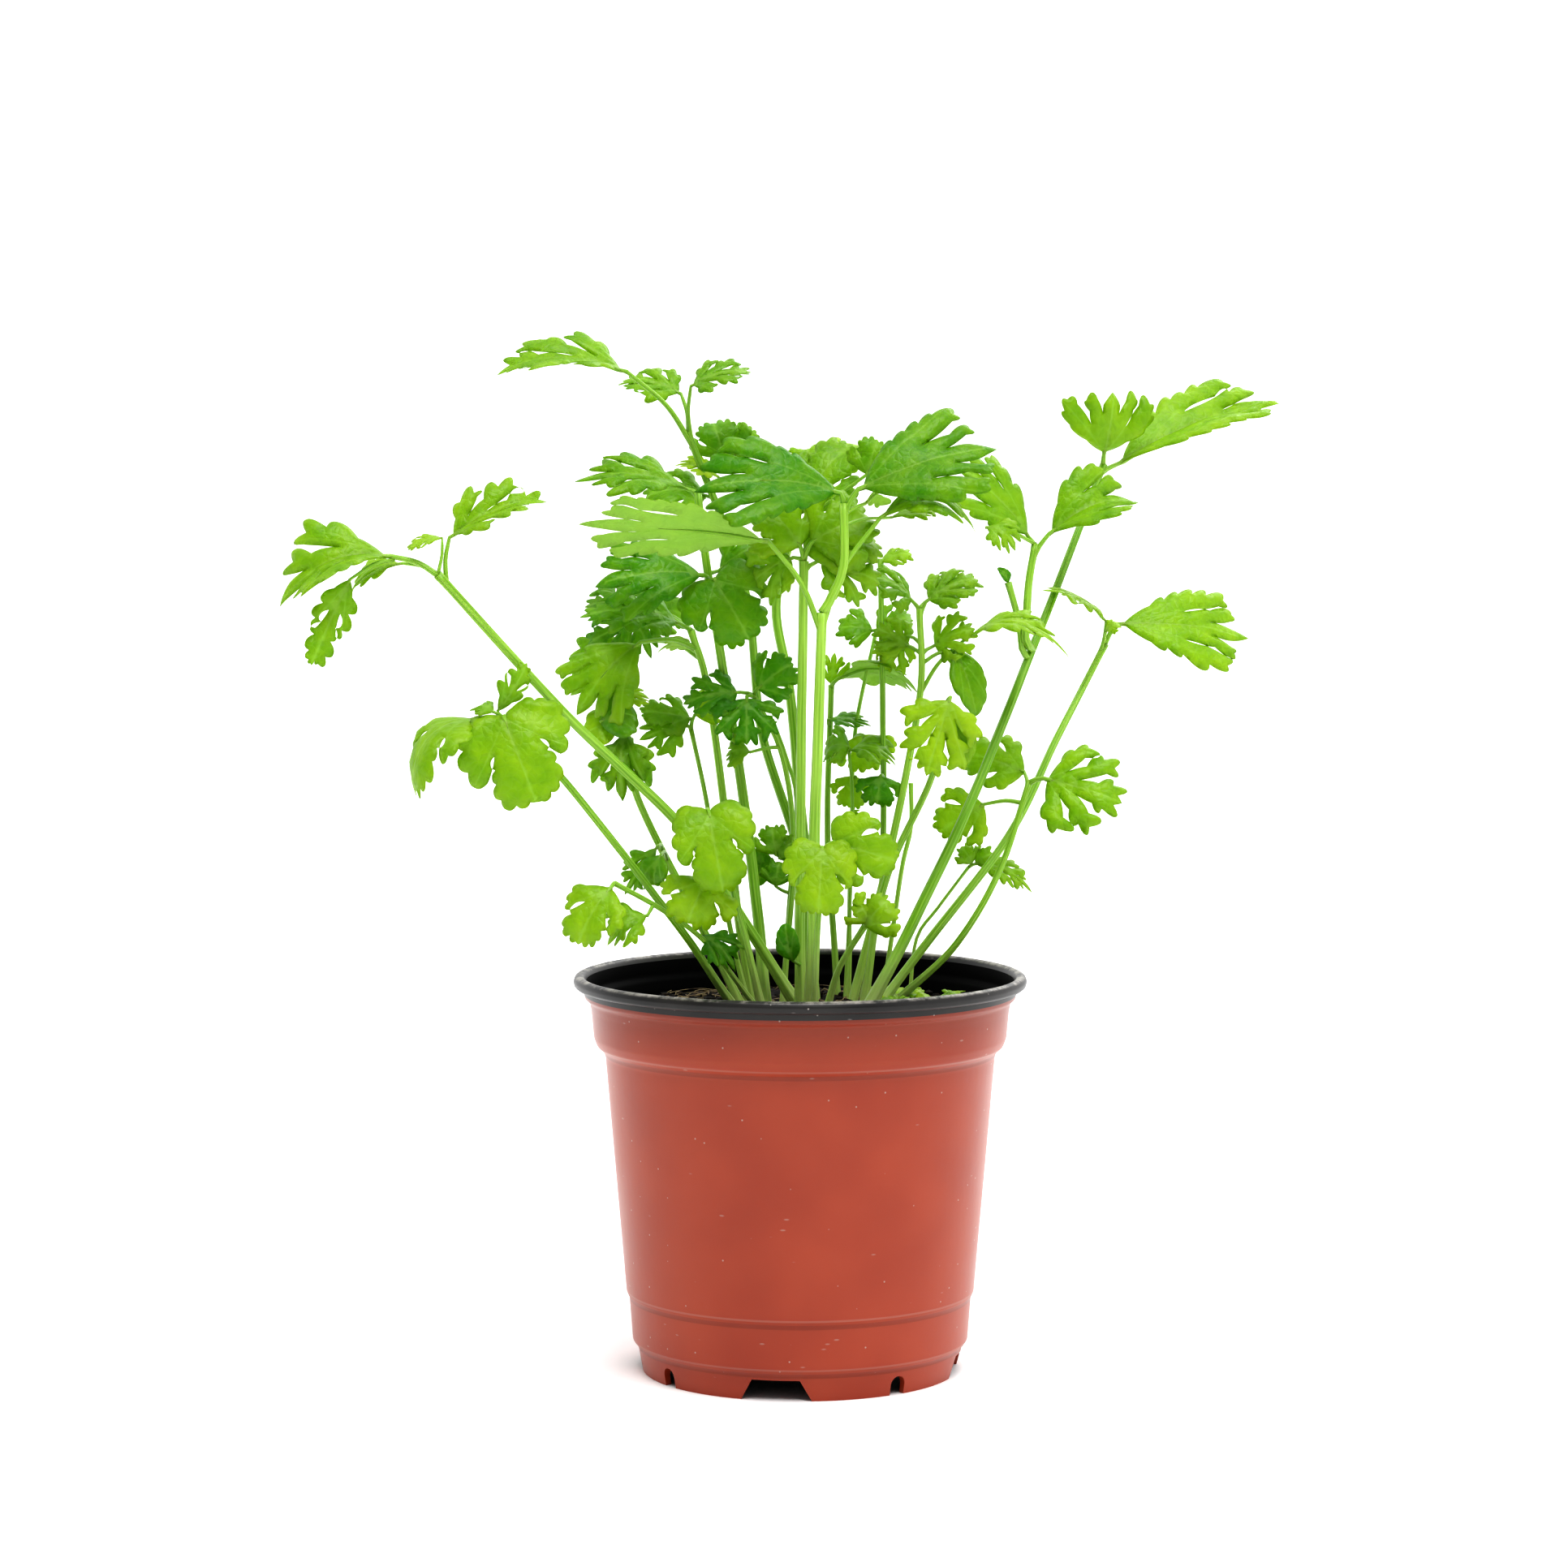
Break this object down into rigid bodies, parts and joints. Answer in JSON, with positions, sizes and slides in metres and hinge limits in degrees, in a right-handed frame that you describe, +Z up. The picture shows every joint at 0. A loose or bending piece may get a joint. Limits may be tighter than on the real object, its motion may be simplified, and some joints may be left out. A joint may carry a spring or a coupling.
{
  "type": "potted flat-leaved herb",
  "caption": "Leafy herb with lobed, toothed leaflets on slender ribbed stalks, growing from a compost plug in a two-tone thermoformed nursery pot with a rolled rim and notched foot",
  "frame": {"origin": "centre of the whole plant's bounding box on the table plane, which is also the pot's axis to within 2 mm", "axes": "+Z up along the pot's axis and its longest extent, +X to the viewer's right, -Y toward the viewer"},
  "size_m": [0.2811, 0.1461, 0.2962],
  "materials": {
    "pot_plastic": "satin",
    "compost": "matte",
    "leaf_stalk": "satin",
    "leaf_blade": "satin"
  },
  "bodies": {
    "root": {"pot": "pot_plastic", "soil": "compost", "stem_01": "leaf_stalk", "stem_02": "leaf_stalk", "stem_03": "leaf_stalk", "stem_04": "leaf_stalk", "stem_05": "leaf_stalk", "stem_06": "leaf_stalk", "stem_07": "leaf_stalk", "stem_08": "leaf_stalk", "stem_09": "leaf_stalk", "stem_10": "leaf_stalk", "stem_11": "leaf_stalk", "stem_12": "leaf_stalk", "stem_13": "leaf_stalk", "stem_14": "leaf_stalk", "stem_15": "leaf_stalk", "stem_16": "leaf_stalk", "stem_17": "leaf_stalk", "stem_18": "leaf_stalk", "stem_19": "leaf_stalk", "stem_20": "leaf_stalk", "leaf_01": "leaf_blade", "leaf_02": "leaf_blade", "leaf_03": "leaf_blade", "leaf_04": "leaf_blade", "leaf_05": "leaf_blade", "leaf_06": "leaf_blade", "leaf_07": "leaf_blade", "leaf_08": "leaf_blade", "leaf_09": "leaf_blade", "leaf_10": "leaf_blade", "leaf_11": "leaf_blade", "leaf_12": "leaf_blade", "leaf_13": "leaf_blade", "leaf_14": "leaf_blade", "leaf_15": "leaf_blade", "leaf_16": "leaf_blade", "leaf_17": "leaf_blade", "leaf_18": "leaf_blade", "leaf_19": "leaf_blade", "leaf_20": "leaf_blade", "leaf_21": "leaf_blade", "leaf_22": "leaf_blade", "leaf_23": "leaf_blade", "leaf_24": "leaf_blade", "leaf_25": "leaf_blade", "leaf_26": "leaf_blade", "leaf_27": "leaf_blade", "leaf_28": "leaf_blade", "leaf_29": "leaf_blade", "leaf_30": "leaf_blade", "leaf_31": "leaf_blade", "leaf_32": "leaf_blade", "leaf_33": "leaf_blade", "leaf_34": "leaf_blade", "leaf_35": "leaf_blade", "leaf_36": "leaf_blade", "leaf_37": "leaf_blade", "leaf_38": "leaf_blade"}
  },
  "joints": []
}
